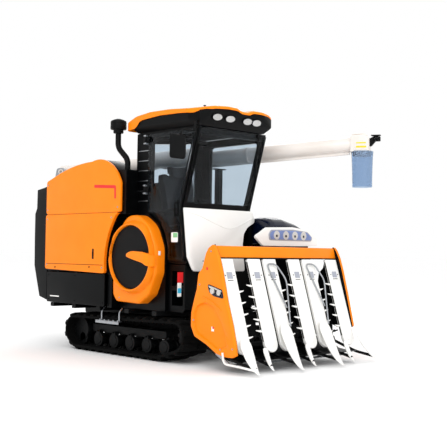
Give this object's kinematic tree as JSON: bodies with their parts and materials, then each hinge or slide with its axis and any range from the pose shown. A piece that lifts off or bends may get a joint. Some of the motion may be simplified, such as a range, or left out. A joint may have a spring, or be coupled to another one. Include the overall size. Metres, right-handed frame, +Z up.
{
  "type": "combine harvester",
  "caption": "Head-feeding combine harvester on rubber crawler tracks, with a cab, crop lifter header, grain tank and swinging unloading auger.",
  "frame": {"origin": "on the ground, in the middle of the overall footprint", "axes": "+X to the machine's left, +Y to its rear, +Z up; the header faces -Y"},
  "size_m": [2.66, 4.69, 2.8843],
  "materials": {
    "orange_paint": "gloss",
    "white_paint": "gloss",
    "dark_paint": "satin",
    "black_plastic": "matte",
    "navy_cover": "gloss",
    "track_rubber": "matte",
    "frame_steel": "satin",
    "bare_steel": "satin",
    "cast_housing": "matte",
    "rod_chrome": "polished",
    "window_glass": "clear",
    "lamp_lens": "gloss",
    "sleeve_vinyl": "translucent",
    "seat_vinyl": "satin"
  },
  "bodies": {
    "chassis": {"track_belt_right": "track_rubber", "track_belt_left": "track_rubber", "track_frame_right": "frame_steel", "track_frame_left": "frame_steel", "drive_sprocket_right": "frame_steel", "drive_sprocket_left": "frame_steel", "chassis_frame": "frame_steel", "transmission": "cast_housing", "engine": "cast_housing", "grain_tank": "dark_paint", "tank_side_panels": "orange_paint", "tank_rear_cover": "dark_paint", "engine_bay_cover": "dark_paint", "screen_housing": "orange_paint", "screen_arm": "orange_paint", "cab_base": "dark_paint", "cab_frame": "dark_paint", "cab_glass": "window_glass", "front_panel": "white_paint", "roof_cap": "orange_paint", "roof_liner": "black_plastic", "roof_lamps": "lamp_lens", "seat": "seat_vinyl", "controls": "black_plastic", "mirrors": "black_plastic", "air_precleaner": "black_plastic", "thresher_body": "dark_paint", "thresher_side_cover": "orange_paint", "feed_chain": "bare_steel", "straw_chopper": "dark_paint", "auger_rest": "dark_paint", "auger_leg": "white_paint"},
    "door": {"door_frame": "dark_paint", "door_glass": "window_glass"},
    "screen": {"screen_disc": "black_plastic"},
    "header": {"header_frame": "dark_paint", "header_top_cover": "orange_paint", "header_side_panels": "orange_paint", "header_lamps": "lamp_lens", "hood_fascia": "white_paint", "hood_top": "navy_cover", "feeder_house": "dark_paint", "lifter_cases": "white_paint", "lifter_tines": "white_paint", "dividers": "white_paint", "cutter_bar": "bare_steel", "star_wheels": "dark_paint", "guide_rods": "bare_steel"},
    "lift_barrel": {"lift_cylinder_barrel": "dark_paint"},
    "lift_rod": {"lift_cylinder_rod": "rod_chrome"},
    "turret": {"auger_turret": "frame_steel"},
    "boom": {"auger_boom": "white_paint", "spout_sleeve": "sleeve_vinyl"},
    "boom_barrel": {"boom_cylinder_barrel": "dark_paint"},
    "boom_rod": {"boom_cylinder_rod": "rod_chrome"}
  },
  "joints": [
    {"name": "cab_door", "type": "hinge", "parent": "chassis", "child": "door", "pos_m": [-0.912, -0.346, 2.23], "axis": [0, 0, -1], "range_deg": [0, 75]},
    {"name": "screen_spin", "type": "hinge", "parent": "chassis", "child": "screen", "pos_m": [-1.06, -0.318, 1.175], "axis": [1, 0, 0], "continuous": true},
    {"name": "header_lift", "type": "hinge", "parent": "chassis", "child": "header", "pos_m": [0.6, -0.6, 1.1], "axis": [-1, 0, 0], "range_deg": [0, 25]},
    {"name": "lift_barrel_tilt", "type": "hinge", "parent": "chassis", "child": "lift_barrel", "pos_m": [0.38, -0.76, 0.43], "axis": [-1, 0, 0], "range_deg": [0, 24.25]},
    {"name": "lift_rod_slide", "type": "slide", "parent": "lift_barrel", "child": "lift_rod", "axis": [0, -0.9962, 0.0866], "range_m": [0, 0.3]},
    {"name": "auger_swing", "type": "hinge", "parent": "chassis", "child": "turret", "pos_m": [-0.7, 1.64, 2.115], "axis": [0, 0, 1], "range_deg": [0, 200]},
    {"name": "auger_lift", "type": "hinge", "parent": "turret", "child": "boom", "pos_m": [-0.7, 1.64, 2.285], "axis": [-0.8797, -0.4756, 0], "range_deg": [0, 40]},
    {"name": "boom_barrel_tilt", "type": "hinge", "parent": "turret", "child": "boom_barrel", "pos_m": [-0.63341, 1.51685, 2.135], "axis": [-0.8797, -0.4756, 0], "range_deg": [0, 44.33]},
    {"name": "boom_rod_slide", "type": "slide", "parent": "boom_barrel", "child": "boom_rod", "axis": [0.4725, -0.8738, 0.1152], "range_m": [0, 0.1292]}
  ],
  "couplings": [
    {"joint": "lift_barrel_tilt", "follows": "header_lift", "ratio": 0.9679},
    {"joint": "lift_rod_slide", "follows": "header_lift", "m_per_rad": 0.6863},
    {"joint": "boom_barrel_tilt", "follows": "auger_lift", "ratio": 1.1069},
    {"joint": "boom_rod_slide", "follows": "auger_lift", "m_per_rad": 0.18441}
  ]
}
